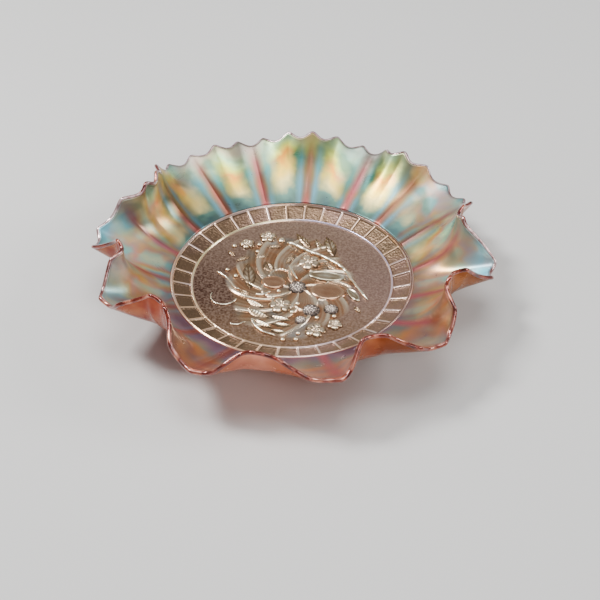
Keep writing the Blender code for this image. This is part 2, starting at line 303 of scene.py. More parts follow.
def wall_sheet(azimuths, shares):
    """The inner face of the wall without its flutes, as points[share, azimuth]."""
    fine = 200
    middles = (np.arange(fine) + 0.5) / fine
    length = profile_length(azimuths)
    tilt = np.radians(START_TILT + (rim_tilt(azimuths) - START_TILT) * middles[:, None] ** BEND_POWER)
    step = length / fine
    start = np.zeros((1, len(azimuths)))
    run = np.concatenate([start, np.cumsum(np.cos(tilt) * step, axis=0)])
    rise = np.concatenate([start, np.cumsum(np.sin(tilt) * step, axis=0)])
    ends = np.arange(fine + 1) / fine
    radius = np.stack([np.interp(shares, ends, column) for column in run.T], 1)
    height = np.stack([np.interp(shares, ends, column) for column in rise.T], 1)
    return around(WALL_RADIUS + radius, RING_TOP + height, azimuths[None, :])


def sheet_normals(sheet):
    """Unit normals of a sheet of points[row, step round], which point up and inwards."""
    along = np.gradient(sheet, axis=0)
    across = np.roll(sheet, -1, axis=1) - np.roll(sheet, 1, axis=1)
    return unit(np.cross(along, across))


def near_rib(azimuths):
    """1 on a rib, falling to 0 in the middle of a flute."""
    across = ((azimuths - PATTERN_AZIMUTH) * FLUTES / 360) % 1.0
    return np.abs(2 * across - 1)


def flute_rise(azimuths, shares):
    """Height of the wall's inner face: soft ribs between shallow scooped flutes."""
    rib = near_rib(azimuths)
    return FLUTE_DEPTH * (0.60 * rib**2 + 0.40 * rib**6) * np.sin(math.pi * shares[:, None] ** 0.8) ** 0.5


def wall_thickness(shares):
    """Thick at the ring and thin under the rim bead."""
    low = WALL_THINS_LOW * smooth(shares / 0.25)
    high = WALL_THINS_HIGH * smooth((shares - 0.5) / 0.5)
    return WALL_THICKNESS - low - high


def front_share(azimuths):
    """1 at the front of the bowl, falling to 0 at its back."""
    return smooth((np.cos(np.radians(azimuths)) + 0.35) / 1.2)


def make_wall(inside, outside):
    """The wall, with its flutes on the inside and plain glass outside."""
    azimuths = even_azimuths(AROUND_STEPS)
    shares = np.linspace(0.0, 1 - WALL_STOPS_SHORT / WALL_LENGTH, WALL_ROWS)
    sheet = wall_sheet(azimuths, shares)
    normals = sheet_normals(sheet)
    inner = sheet + normals * flute_rise(azimuths, shares)[..., None]
    outer = sheet - normals * wall_thickness(shares)[:, None, None]
    sections = np.concatenate([inner, outer[::-1]])
    wall = ring_solid("wall", sections, (inside, outside), ("fluted_wall",))
    set_numbers(
        wall, sections.shape[:2],
        up_wall=np.concatenate([shares, shares[::-1]])[:, None],
        from_rib=1 - near_rib(azimuths),
        fold=(rim_tilt(azimuths) - START_TILT) / 90,
        facing=front_share(azimuths),
    )
    use_second_material(wall, range((WALL_ROWS - 1) * AROUND_STEPS, len(wall.data.polygons)))


def rim_frame(azimuths):
    """The middle line of the rim bead, with its directions outwards and upwards."""
    behind = (RIM_BEAD_RADIUS + RIM_BEAD_INSET) / profile_length(azimuths)
    shares = np.linspace(0.9, 1.0, 21)
    sheet = wall_sheet(azimuths, shares)
    normals = sheet_normals(sheet)
    place = np.clip((1 - behind - shares[0]) / (shares[1] - shares[0]), 0, len(shares) - 1.001)
    row = place.astype(int)
    part = (place - row)[:, None]
    column = np.arange(len(azimuths))
    on_sheet = sheet[row, column] * (1 - part) + sheet[row + 1, column] * part
    normal = normals[row, column]
    centre = on_sheet - normal * RIM_BEAD_RADIUS
    forward = unit(np.roll(centre, -1, axis=0) - np.roll(centre, 1, axis=0))
    outwards = unit(np.cross(normal, forward))
    return centre, outwards, np.cross(forward, outwards)


def make_rim(material):
    """A round bead that follows the toothed edge."""
    azimuths = even_azimuths(AROUND_STEPS)
    centre, outwards, upwards = rim_frame(azimuths)
    angles = 2 * math.pi * np.arange(RIM_BEAD_SIDES) / RIM_BEAD_SIDES
    loops = []
    for angle in angles:
        loops.append(centre + RIM_BEAD_RADIUS * (math.cos(angle) * outwards + math.sin(angle) * upwards))
    rim = ring_solid("rim", np.stack(loops), (material,), ("rim_bead",))
    shape = (RIM_BEAD_SIDES, AROUND_STEPS)
    set_numbers(rim, shape, inner_side=np.sin(angles)[:, None], facing=front_share(azimuths))


# Ring of blocks, floor and foot


def ring_height(radius):
    """Height of the ring's sloping face, without its pockets and beads."""
    return FLOOR_TOP + (radius - FLOOR_RADIUS) / (RING_RADIUS - FLOOR_RADIUS) * (RING_TOP - FLOOR_TOP)


def bead(radius, inner):
    """Height of a half-round bead whose inner edge is at a radius."""
    across = (radius - inner) / BEAD_WIDTH * 2 - 1
    return BEAD_HEIGHT * np.sqrt(np.clip(1 - across**2, 0, None))


def pocket(radius, azimuths):
    """1 on the floor of a block's pocket, 0 on the bars and beads, with bevels between."""
    block = 360.0 / BLOCKS
    off_bar = block / 2 - np.abs((azimuths - PATTERN_AZIMUTH) % block - block / 2)
    from_bar = radius * np.radians(off_bar) - BAR_HALF_WIDTH
    from_inner = radius - FLOOR_RADIUS - BEAD_WIDTH
    from_outer = RING_RADIUS - BEAD_WIDTH - radius
    nearest = np.minimum(from_bar, np.minimum(from_inner, from_outer))
    return smooth(nearest / POCKET_BEVEL)


def stipple(points, grain, depth):
    """Fine hammered dimples: one number for each point."""
    flat = points.reshape(-1, 3)
    values = [noise.voronoi(Vector(point) / grain)[0][0] for point in flat.tolist()]
    return (depth * (np.clip(np.array(values), 0, 1) - 0.45)).reshape(points.shape[:-1])


def make_ring(film, underside):
    """The sloping ring of stippled pockets between two beads."""
    azimuths = even_azimuths(AROUND_STEPS)
    radii = np.linspace(FLOOR_RADIUS, RING_RADIUS + RING_OVERLAP, RING_ROWS)[:, None]
    mask = pocket(radii, azimuths)
    inner_bead = bead(radii, FLOOR_RADIUS)
    outer_bead = bead(radii, RING_RADIUS - BEAD_WIDTH)
    height = ring_height(radii) + inner_bead + outer_bead
    top = around(radii, height - POCKET_DEPTH * mask, azimuths[None, :])
    top[..., 2] += mask * stipple(top, RING_STIPPLE_SIZE, RING_STIPPLE_DEPTH)
    profile = (*RING_UNDERSIDE, (RING_INNER_RADIUS, FLOOR_TOP - RING_INNER_DROP))
    below = np.stack([around(radius, height, azimuths) for radius, height in profile])
    sections = np.concatenate([top, below])
    ring = ring_solid("ring_of_blocks", sections, (film, underside), ("block_ring",))
    use_second_material(ring, range((RING_ROWS - 1) * AROUND_STEPS, len(ring.data.polygons)))
    plain = np.zeros((len(profile), AROUND_STEPS))
    inner_share = np.broadcast_to(inner_bead / BEAD_HEIGHT, mask.shape)
    outer_share = np.broadcast_to(outer_bead / BEAD_HEIGHT, mask.shape)
    set_numbers(
        ring, sections.shape[:2],
        pocket=np.concatenate([mask, plain]),
        inner_bead=np.concatenate([inner_share, plain]),
        outer_bead=np.concatenate([outer_share, plain]),
    )


def petal_layer(curl, count, offset):
    """Petals that overlap like a pinwheel: each climbs to a raised edge, and then drops to the next."""
    share = (curl * count / (2 * math.pi) + offset) % 1.0
    edge = np.exp(-(((share - 0.85) / 0.09) ** 2))
    return (0.24 + 0.36 * share + 0.42 * edge) * smooth((1 - share) / 0.07)


def open_flower(across, away):
    """How far each place (mm) lies inside the great flower, and its petals' height from 0 to 1."""
    reach = np.hypot(across - FLOWER_CENTRE[0], away - FLOWER_CENTRE[1])
    turn = np.arctan2(away - FLOWER_CENTRE[1], across - FLOWER_CENTRE[0])
    edge_x, edge_y = FLOWER_EDGE_CENTRE
    edge = np.hypot((across - edge_x) / FLOWER_HALF_WIDTH, (away - edge_y) / FLOWER_HALF_LENGTH)
    inside = smooth((1.0 + 0.05 * np.sin(7 * turn) - edge) / 0.10)
    curl = turn + 0.030 * reach
    lip = 17 + 4 * np.abs(np.sin(3.5 * curl + 0.9))
    inner = petal_layer(curl, 7, 0.3) * smooth(reach / 7)
    inner = np.maximum(inner, 0.95 * np.exp(-(((reach - lip + 0.9) / 0.8) ** 2)))
    layered = np.where(reach < lip, inner, petal_layer(curl, 13, 0.0))
    hatching = np.cos(56 * curl + 0.5 * np.sin(0.4 * reach))
    return inside, np.clip(layered + 0.09 * hatching * smooth((reach - 8) / 6), 0, 1)


def make_floor(film, underside):
    """The flat medallion, stippled all over, with the great flower's ridges in its middle."""
    azimuths = even_azimuths(FLOOR_STEPS)
    radii = np.linspace(FLOOR_CAP_RADIUS, FLOOR_RADIUS + FLOOR_OVERLAP, FLOOR_RINGS)[::-1]
    top = around(radii[:, None], FLOOR_TOP, azimuths[None, :])
    inside, petals = open_flower(top[..., 0] / MM, top[..., 1] / MM)
    grain = stipple(top, FLOOR_STIPPLE_SIZE, FLOOR_STIPPLE_DEPTH)
    grain = grain * smooth((FLOOR_RADIUS - radii) / FLOOR_STIPPLE_FADE)[:, None]
    top[..., 2] += grain * (1 - 0.8 * inside) + FLOWER_HEIGHT * MM * (petals - 0.35) * inside
    under = np.stack([around(radius, FLOOR_UNDERSIDE, azimuths) for radius in FLOOR_UNDER_RADII])
    sections = np.concatenate([under, top])
    floor = lofted("medallion", sections, (film, underside), ("medallion_floor",))
    lower_cap = (len(sections) - 1) * FLOOR_STEPS
    use_second_material(floor, [*range(len(under) * FLOOR_STEPS), lower_cap])
    plain = np.zeros((len(under), FLOOR_STEPS))
    set_numbers(
        floor, sections.shape[:2],
        inside_flower=np.concatenate([plain, inside]),
        crest=np.concatenate([plain, petals]),
    )


def make_foot(material):
    """The collar that the bowl stands on, with both of its lower edges rounded."""
    azimuths = 360.0 * np.arange(FOOT_STEPS) / FOOT_STEPS
    inner = FOOT_RADIUS - FOOT_WIDTH
    top = FLOOR_UNDERSIDE + FOOT_SUNK
    profile = [(inner - FOOT_SPREAD_IN, top), (FOOT_RADIUS + FOOT_SPREAD_OUT, top)]
    corners = (
        (FOOT_RADIUS - FOOT_CORNER, (0, -30, -60, -90)),
        (inner + FOOT_CORNER, (-90, -120, -150, -180)),
    )
    for centre, turns in corners:
        for turn in turns:
            angle = math.radians(turn)
            reach = centre + FOOT_CORNER * math.cos(angle)
            profile.append((reach, FOOT_CORNER + FOOT_CORNER * math.sin(angle)))
    sections = np.stack([around(radius, height, azimuths) for radius, height in profile])
    ring_solid("foot", sections, (material,), ("collar_foot",))


# Sprays


def on_floor(points):
    """Points given in millimetres, with their height counted from the floor's face."""
    placed = np.array(points, float) * MM
    placed[..., 2] += FLOOR_TOP
    return placed


def smooth_route(route, per_span=8):
    """A smooth curve through a route's points."""
    points = np.array(route, float)
    padded = np.concatenate([2 * points[:1] - points[1:2], points, 2 * points[-1:] - points[-2:-1]])
    curve = []
    for start in range(len(points) - 1):
        before, here, there, after = padded[start : start + 4]
        slope = there - before
        bend = 2 * before - 5 * here + 4 * there - after
        twist = 3 * (here - there) + after - before
        for step in range(per_span):
            part = step / per_span
            curve.append(here + 0.5 * part * (slope + part * (bend + part * twist)))
    curve.append(points[-1])
    return np.array(curve)


def relief_solid(name, sections, crests, material):
    """A raised piece of the pattern, with how near each point is to the top of its relief."""
    piece = lofted(name, on_floor(sections), (material,), (name,))
    set_numbers(piece, sections.shape[:2], crest=crests)


def make_stem(name, radius, route, material, knots=0.0):
    """A stem that is partly sunk in the floor and thins towards its end."""
    curve = smooth_route(route)
    forward = unit(np.gradient(curve, axis=0))
    side = np.stack([-forward[:, 1], forward[:, 0]], 1)
    sides = 14
    angles = 2 * math.pi * np.arange(sides) / sides
    share = np.linspace(0, 1, len(curve))
    girth = radius * (1 - 0.45 * share) * (1 + knots * np.abs(np.sin(9 * math.pi * share)) ** 6)
    girth *= np.sqrt(np.clip(np.minimum(share, 1 - share) / 0.04, 0.02, 1.0))
    across = girth[:, None] * np.cos(angles)
    lift = 0.5 * radius + girth[:, None] * np.sin(angles)
    flat = curve[:, None, :] + side[:, None, :] * across[..., None]
    relief_solid(name, np.concatenate([flat, lift[..., None]], -1), 0.5 + 0.5 * np.sin(angles), material)


def curl_route(spans=8):
    """The curled end of the tendril, as a route."""
    x, y = CURL_CENTRE
    for step in range(spans + 1):
        turn = CURL_START + (CURL_END - CURL_START) * step / spans
        yield x + CURL_RADIUS * math.cos(turn), y + CURL_RADIUS * math.sin(turn)


def leaf_face(along, across):
    """A veined leaf: its height as a share of the full height."""
    crown = np.sqrt(np.clip(1 - across**2, 0, 1)) * np.sin(math.pi * along) ** 0.5
    midrib = 0.36 * np.exp(-((across / 0.13) ** 2))
    veins = np.cos(2 * math.pi * (6.0 * along - 1.5 * np.abs(across)))
    veins = 0.13 * veins * np.minimum(np.abs(across) * 3, 1)
    return crown * (0.80 - midrib + veins)


def feather_face(along, across):
    """A long leaf of the fan, with one sharp ridge from end to end."""
    ridge = np.clip(1 - np.abs(across - 0.25) / (1 - 0.25 * np.sign(across - 0.25)), 0, 1) ** 0.75
    return ridge * np.sin(math.pi * along) ** 0.4 * (0.92 + 0.08 * np.cos(2 * math.pi * 9 * along))


def petal_face(along, across):
    """A broad petal, dished inside a raised edge."""
    ends = np.abs(2 * along - 1)
    reach = np.sqrt(np.clip(ends**2 + across**2 * (1 - ends**2), 0, 1))
    dish = 0.66 + 0.05 * np.cos(2 * math.pi * 1.5 * across) * (1 - ends)
    edge = np.exp(-(((reach - 0.84) / 0.10) ** 2))
    return (dish + 0.24 * edge) * np.sqrt(np.clip((1 - reach) / 0.12, 0, 1))


def make_leaf(name, place, height, face, bluntness, material):
    """A long flat piece whose face(along, across) gives its height, tapering to both ends."""
    x, y, length, width, heading = place
    rows, columns = 40, 25
    along = np.linspace(0.004, 0.996, rows)[:, None]
    across = np.linspace(-1, 1, columns)[None, :]
    half = width / 2 * np.sin(math.pi * along) ** bluntness
    run = np.broadcast_to((along - 0.5) * length, (rows, columns))
    sideways = across * half
    shares = np.clip(face(along, across), 0, 1)
    turn = math.radians(heading)
    flat_x = x + run * math.cos(turn) - sideways * math.sin(turn)
    flat_y = y + run * math.sin(turn) + sideways * math.cos(turn)
    top = np.stack([flat_x, flat_y, height * shares - SUNK / 2], -1)
    back = np.stack([flat_x, flat_y, np.full((rows, columns), -SUNK)], -1)[:, ::-1]
    crests = np.concatenate([shares, np.zeros((rows, columns))], axis=1)
    relief_solid(name, np.concatenate([top, back], axis=1), crests, material)


def make_dome(name, x, y, outline, height, face, material, rings=26, steps=100):
    """A raised round piece: outline(angles) gives its reach, and face(across, away, shares) its top."""
    angles = 2 * math.pi * np.arange(steps) / steps
    reach = outline(angles)
    shares = np.concatenate([[1.0, 1.0], np.cos(np.linspace(0.08, math.pi / 2 - 0.03, rings))])
    across = shares[:, None] * reach * np.cos(angles)
    away = shares[:, None] * reach * np.sin(angles)
    crests = np.clip(face(across, away, shares[:, None] + 0 * across), 0, 1)
    tops = height * crests
    tops[0] = -SUNK
    tops[1] = -SUNK / 2
    relief_solid(name, np.stack([x + across, y + away, tops], -1), crests, material)


def round_outline(radius):
    """The outline of a disc, for make_dome."""
    return lambda angles: np.full(angles.shape, radius)


def seeds(radius, count):
    """Points spread evenly over a disc, in a sunflower's spiral."""
    number = np.arange(count)
    reach = radius * np.sqrt((number + 0.5) / count)
    turn = number * math.pi * (3 - math.sqrt(5))
    return reach * np.cos(turn), reach * np.sin(turn)


def seed_bumps(across, away, places, size):
    """Height from 0 to 1 of the nearest round seed."""
    gap = np.full(across.shape, np.inf)
    for seed_x, seed_y in zip(*places):
        gap = np.minimum(gap, np.hypot(across - seed_x, away - seed_y))
    return np.sqrt(np.clip(1 - (gap / size) ** 2, 0, 1))


def make_blossom(name, x, y, radius, material):
    """Five cupped petals round a seeded centre."""
    turn = 0.7 * x

    def outline(angles):
        petal = np.abs(np.cos(2.5 * (angles - turn)))
        return radius * (0.66 + 0.34 * petal**0.45)

    def face(across, away, shares):
        petal = np.abs(np.cos(2.5 * (np.arctan2(away, across) - turn)))
        cup = 0.35 + 0.65 * np.sin(math.pi * np.clip(shares, 0, 1) ** 1.3) ** 0.8
        crease = smooth(petal / 0.35)
        centre = seed_bumps(across, away, seeds(0.34 * radius, 9), 0.12 * radius)
        inside = smooth((0.40 - shares) / 0.08)
        return (1 - inside) * cup * (0.35 + 0.60 * crease) + inside * (0.55 + 0.45 * centre)

    make_dome(name, x, y, outline, BLOSSOM_HEIGHT, face, material, steps=120)


def make_berry(name, x, y, radius, material):
    """A round berry covered with small seeds."""

    def face(across, away, shares):
        crown = np.sqrt(np.clip(1 - shares**2, 0, 1))
        bumps = seed_bumps(across, away, seeds(0.95 * radius, 30), 0.17 * radius)
        return 0.66 * crown + 0.34 * bumps * (0.4 + 0.6 * crown)

    make_dome(name, x, y, round_outline(radius), BERRY_HEIGHT, face, material)


def make_bud(name, x, y, radius, material):
    """A small smooth bud."""

    def face(across, away, shares):
        return np.sqrt(np.clip(1 - shares**2, 0, 1))

    make_dome(name, x, y, round_outline(radius), BUD_HEIGHT, face, material, rings=10, steps=28)


def make_sprays():
    """Every stem, leaf, petal, blossom, berry and bud of the floor's relief."""
    # Each relief film: painted shade in the creases, the middle tone, and a painted highlight on the crests.
    bright = relief_glass("iridised_stems", (110, 76, 52), (214, 176, 132), (255, 244, 218))
    silver = relief_glass("iridised_leaves", (96, 72, 52), (156, 126, 94), (255, 232, 200))
    golden = relief_glass("iridised_fan", (84, 62, 42), (176, 150, 116), (255, 248, 224))
    orange = relief_glass("iridised_petals", (150, 106, 80), (186, 138, 104), (226, 184, 148))
    dark = relief_glass("iridised_berries", (62, 52, 46), (96, 82, 74), (206, 192, 180))
    for name, (radius, route) in STEMS.items():
        make_stem(name, radius, route, bright, knots=0.2)
    make_stem("tendril_curl", STEMS["tendril"][0], tuple(curl_route()), bright)
    for number, place in enumerate(LEAVES, 1):
        in_fan = number >= FIRST_FEATHER
        face = feather_face if in_fan else leaf_face
        make_leaf(f"leaf_{number}", place, LEAF_HEIGHT, face, 0.9, golden if in_fan else silver)
    for number, place in enumerate(PETALS, 1):
        # The later petals take the fan's film as a painted reflection.
        film = orange if number < FIRST_REFLECTION_PETAL else golden
        make_leaf(f"petal_{number}", place, PETAL_HEIGHT, petal_face, 0.5, film)
    for number, place in enumerate(BLOSSOMS, 1):
        make_blossom(f"blossom_{number}", *place, silver)
    for number, place in enumerate(BERRIES, 1):
        make_berry(f"berry_{number}", *place, dark)
    for number, place in enumerate(BUDS, 1):
        make_bud(f"bud_{number}", *place, bright)


# Materials


def linear(display, depth=1.0):
    """A colour of eight-bit display values, as linear values. A depth over 1 makes it more vivid."""
    grey = sum(display) / 3
    channels = []
    for value in display:
        vivid = min(max(grey + (value - grey) * depth, 0), 255)
        channels.append(((vivid / 255 + 0.055) / 1.055) ** 2.4 if vivid > 10 else vivid / 255 / 12.92)
    return tuple(channels)


def colour(*display):
    """The same, as a plain value for a colour socket."""
    return (*linear(display), 1.0)


class Surface:
    """A material whose inputs are built from nodes."""

    def __init__(self, name, **sockets):
        self.material = bpy.data.materials.new(name)
        self.material.use_nodes = True
        self.tree = self.material.node_tree
        self.shader = self.tree.nodes["Principled BSDF"]
        for socket, value in sockets.items():
            self.shader.inputs[socket.replace("_", " ")].default_value = value

    def feed(self, socket, value):
        """Gives the shader one of its inputs."""
        self.put(self.shader.inputs[socket], value)

    def put(self, socket, value):
        """Links an output to a socket, or sets a plain value."""
        if isinstance(value, bpy.types.NodeSocket):
            self.tree.links.new(value, socket)
        elif value is not None:
            socket.default_value = value

    def node(self, kind, **inputs):
        """A new node with these inputs."""
        made = self.tree.nodes.new(kind)
        for name, value in inputs.items():
            self.put(made.inputs[name.replace("_", " ")], value)
        return made

    def math(self, operation, first, second=None, third=None):
        """The result of one operation on up to three values."""
        made = self.tree.nodes.new("ShaderNodeMath")
        made.operation = operation
        for socket, value in zip(made.inputs, (first, second, third)):
            self.put(socket, value)
        return made.outputs[0]

    def product(self, first, *others):
        """Several values multiplied together."""
        for other in others:
            first = self.math("MULTIPLY", first, other)
        return first

    def number(self, name):
        """A number stored on the mesh."""
        made = self.tree.nodes.new("ShaderNodeAttribute")
        made.attribute_name = name
        return made.outputs["Fac"]

    def place(self):
        """The object coordinates, in metres."""
        return self.tree.nodes.new("ShaderNodeTexCoord").outputs["Object"]

    def along(self, axis):
        """The coordinate along an axis, in metres."""
        return self.node("ShaderNodeSeparateXYZ", Vector=self.place()).outputs[axis]

    def dimples(self, size):
        """Distance from the middles of random cells of about this size, from 0 to about 1."""
        return self.node("ShaderNodeTexVoronoi", Vector=self.place(), Scale=1 / size).outputs["Distance"]

    def noise(self, size, detail=2.0, distortion=0.0):
        """Cloudy noise from 0 to 1 whose patches are about this wide."""
        made = self.node(
            "ShaderNodeTexNoise", Vector=self.place(), Scale=1 / size, Detail=detail, Distortion=distortion
        )
        return made.outputs["Fac"]

    def ramp(self, value, *stops, depth=1.0):
        """Colours, in eight-bit display values, at places from 0 to 1."""
        made = self.node("ShaderNodeValToRGB", Fac=value)
        made.color_ramp.interpolation = "EASE" if len(stops) < 3 else "LINEAR"
        while len(made.color_ramp.elements) < len(stops):
            made.color_ramp.elements.new(0.5)
        for element, (position, display) in zip(made.color_ramp.elements, stops):
            element.position = position
            element.color = (*linear(display, depth), 1.0)
        return made.outputs["Color"]

    def scaled(self, value, low, high, to_low=0.0, to_high=1.0):
        """A value carried from one range to another, and held inside it."""
        made = self.node(
            "ShaderNodeMapRange", Value=value, From_Min=low, From_Max=high, To_Min=to_low, To_Max=to_high
        )
        return made.outputs["Result"]

    def mix(self, share, first, second):
        """A share of the second colour over the first."""
        made = self.tree.nodes.new("ShaderNodeMix")
        made.data_type = "RGBA"
        self.put(made.inputs["Factor"], share)
        self.put(made.inputs["A"], first)
        self.put(made.inputs["B"], second)
        return made.outputs["Result"]

    def bump(self, height, strength, distance):
        """A fine bump, in the shading only."""
        made = self.node("ShaderNodeBump", Height=height, Strength=strength, Distance=distance)
        self.feed("Normal", made.outputs["Normal"])


class WallFilm(Surface):
    """The film on the inside of the wall, with painted highlights, reflections and shade placed by side of
    the bowl. Its bands lie lowest, and each method after them adds a layer.
    """

    def __init__(self):
        super().__init__("iridised_wall", Metallic=0.6, IOR=1.52, Specular_IOR_Level=0.25)
        self.up_wall = self.number("up_wall")
        self.from_rib = self.number("from_rib")
        self.facing = self.number("facing")
        self.sideways = self.math("ABSOLUTE", self.along("X"))
        self.clouds = self.noise(0.040, detail=1.5)
        self.wisps = self.noise(0.012, detail=2.0, distortion=0.4)
        drift = self.scaled(self.clouds, 0.3, 0.7, -1, 1)
        waver = self.scaled(self.wisps, 0.3, 0.7, -1, 1)
        height = self.math("MULTIPLY_ADD", drift, 0.18, self.up_wall)
        self.height = self.math("MULTIPLY_ADD", waver, 0.06, height)
        self.middle = self.scaled(self.math("MULTIPLY_ADD", waver, 0.12, self.from_rib), 0.42, 0.90)

    def bands(self):
        """Wavering bands of film up the wall, greenish along the ribs and golden between them, with painted
        shade and highlight.
        """
        # Painted shade: the sides of each flute, beside the ribs, are darker.
        sides = self.ramp(
            self.height,
            (0.00, (80, 90, 86)), (0.15, (86, 104, 98)), (0.34, (104, 108, 84)), (0.52, (84, 116, 100)),
            (0.66, (122, 138, 102)), (0.82, (160, 164, 124)), (1.00, (170, 152, 132)),
            depth=1.9,
        )
        # Painted highlight over the film's own gold: the bright middle of each flute at mid-height.
        middles = self.ramp(
            self.height,
            (0.00, (74, 88, 88)), (0.12, (104, 124, 116)), (0.28, (218, 206, 164)), (0.46, (240, 202, 128)),
            (0.60, (226, 166, 104)), (0.72, (222, 226, 148)), (0.86, (212, 236, 202)),
            (1.00, (206, 200, 176)),
            depth=1.8,
        )
        return self.mix(self.middle, sides, middles)

    def mauve_front_shade(self, tones):
        """Mauve and amber bands towards the front, darker than the back as painted shade."""
        mauve = self.ramp(
            self.height,
            (0.00, (98, 68, 84)), (0.18, (118, 88, 108)), (0.34, (112, 108, 108)), (0.50, (156, 104, 78)),
            (0.64, (128, 88, 96)), (0.82, (156, 98, 80)), (1.00, (120, 74, 72)),
            depth=1.5,
        )
        return self.mix(self.product(self.facing, 0.9), tones, mauve)

    def flare_highlights(self, tones):
        """Pale blue where the wall leans out: a painted highlight of the light overhead."""
        share = self.product(
            self.scaled(self.number("fold"), 0.02, 0.16, 1.0, 0.0),
            self.scaled(self.middle, 0.0, 1.0, 0.5, 1.0),
            self.scaled(self.up_wall, 0.30, 0.70, 0.0, 0.80),
            self.scaled(self.facing, 0.2, 1.0, 1.0, 0.35),
        )
        return self.mix(share, tones, colour(158, 226, 236))

    def side_film_and_reflections(self, tones):
        """Patches from cyan through gold and rose on the lobes at both sides: film colours, brightened there
        as painted reflections.
        """
        drift = self.math("MULTIPLY_ADD", self.noise(0.017, detail=1.5, distortion=0.5), 0.65, 0.06)
        reflected_film_tones = self.ramp(
            self.math("MULTIPLY_ADD", self.from_rib, 0.30, drift),
            (0.34, (146, 206, 214)), (0.43, (232, 226, 172)), (0.51, (240, 176, 108)),
            (0.59, (220, 156, 150)), (0.68, (160, 206, 206)),
            depth=1.3,
        )
        share = self.product(
            self.scaled(self.sideways, 0.055, 0.090, 0.0, 0.70), self.scaled(self.facing, 0.3, 1.0, 1.0, 0.3)
        )
        return self.mix(share, tones, reflected_film_tones)

    def teal_shade_patches(self, tones):
        """Dark teal patches on the upper part of the wall, most of them at the back: painted shade over the
        film.
        """
        share = self.product(
            self.scaled(self.noise(0.015, detail=1.5), 0.49, 0.62, 0.0, 0.65),
            self.scaled(self.up_wall, 0.35, 0.60),
            self.scaled(self.facing, 0.1, 0.6, 1.0, 0.2),
        )
        return self.mix(share, tones, colour(70, 112, 90))

    def tip_highlights(self, tones):
        """Cyan painted highlights at the tips of the lobes at both sides."""
        share = self.product(
            self.scaled(self.sideways, 0.084, 0.104, 0.0, 0.75), self.scaled(self.wisps, 0.35, 0.6, 0.5, 1.0)
        )
        return self.mix(share, tones, colour(112, 206, 228))

    def blue_flank_film_and_reflection(self, tones):
        """Blue film beside each rib, mostly at the back, where it is partly a painted reflection."""
        share = self.product(
            self.scaled(self.from_rib, 0.16, 0.32, 0.0, 0.5),
            self.scaled(self.from_rib, 0.34, 0.56, 1.0, 0.0),
            self.scaled(self.facing, 0.1, 0.6, 1.0, 0.3),
            self.scaled(self.clouds, 0.38, 0.58, 1.0, 0.4),
            self.scaled(self.up_wall, 0.60, 0.90, 1.0, 0.3),
        )
        return self.mix(share, tones, colour(98, 150, 176))

    def ruby_ribs(self, tones):
        """Ruby along each rib, fading towards the rim."""
        share = self.product(
            self.scaled(self.from_rib, 0.06, 0.30, 1.0, 0.0),
            self.scaled(self.up_wall, 0.70, 0.95, 0.80, 0.20),
            self.scaled(self.clouds, 0.35, 0.5, 0.7, 1.0),
        )
        return self.mix(share, tones, self.ramp(self.clouds, (0.42, (146, 66, 44)), (0.60, (178, 78, 92))))

    def dull_edge(self, tones):
        """A dull line just under the rim."""
        return self.mix(self.scaled(self.up_wall, 0.93, 0.99, 0.0, 0.6), tones, colour(112, 84, 82))


def wall_inside():
    """The film on the inside of the wall, with all of its layers in order."""
    film = WallFilm()
    tones = film.mauve_front_shade(film.bands())
    tones = film.side_film_and_reflections(film.flare_highlights(tones))
    tones = film.tip_highlights(film.teal_shade_patches(tones))
    tones = film.ruby_ribs(film.blue_flank_film_and_reflection(tones))
    film.feed("Base Color", film.dull_edge(tones))
    film.feed("Roughness", film.scaled(film.wisps, 0.3, 0.7, 0.27, 0.35))
    film.bump(film.noise(0.0016, detail=2.0), 0.12, 0.0002)
    return film.material


def outside_glass():
    """Plain amber glass, lighter midway from left to right as a painted highlight, and darker towards both
    sides as painted shade.
    """
    surface = Surface("amber_outside", Metallic=0.4, IOR=1.52, Specular_IOR_Level=0.25)
    clouds = surface.noise(0.028, detail=2.0, distortion=0.8)
    across = surface.math("MULTIPLY_ADD", clouds, 0.05, surface.along("X"))
    # Painted light: a pale highlight in the middle of the front, and shade towards both sides.
    tones = surface.ramp(
        surface.scaled(across, -0.09, 0.13),
        (0.00, (126, 54, 36)), (0.24, (150, 68, 46)), (0.44, (236, 162, 136)), (0.55, (206, 112, 68)),
        (0.72, (136, 64, 20)), (1.00, (140, 82, 26)),
        depth=1.2,
    )
    pale = surface.scaled(surface.noise(0.012), 0.45, 0.75, 0.0, 0.35)
    surface.feed("Base Color", surface.mix(pale, tones, colour(232, 158, 100)))
    surface.feed("Roughness", surface.scaled(surface.noise(0.006), 0.3, 0.7, 0.18, 0.28))
    return surface.material


def rim_glass():
    """Ruby glass, with lavender film on the inner side of the rim at the back, where it is partly a painted
    highlight.
    """
    surface = Surface(
        "ruby_rim", IOR=1.52, Transmission_Weight=0.2, Metallic=0.45, Coat_Weight=1.0, Coat_Roughness=0.03
    )
    grain = surface.noise(0.005, detail=3.0)
    ruby = surface.ramp(grain, (0.30, (78, 20, 10)), (0.50, (150, 50, 30)), (0.70, (224, 136, 104)))
    lavender = surface.ramp(grain, (0.34, (150, 108, 108)), (0.62, (232, 208, 208)))
    inner = surface.scaled(surface.number("inner_side"), -0.2, 0.6)
    # Painted highlight: the lavender on the inner side shows mostly at the back.
    back = surface.scaled(surface.number("facing"), 0.1, 0.8, 1.0, 0.15)
    surface.feed("Base Color", surface.mix(surface.product(inner, back), ruby, lavender))
    surface.feed("Roughness", surface.scaled(surface.noise(0.003), 0.3, 0.7, 0.06, 0.16))
    return surface.material


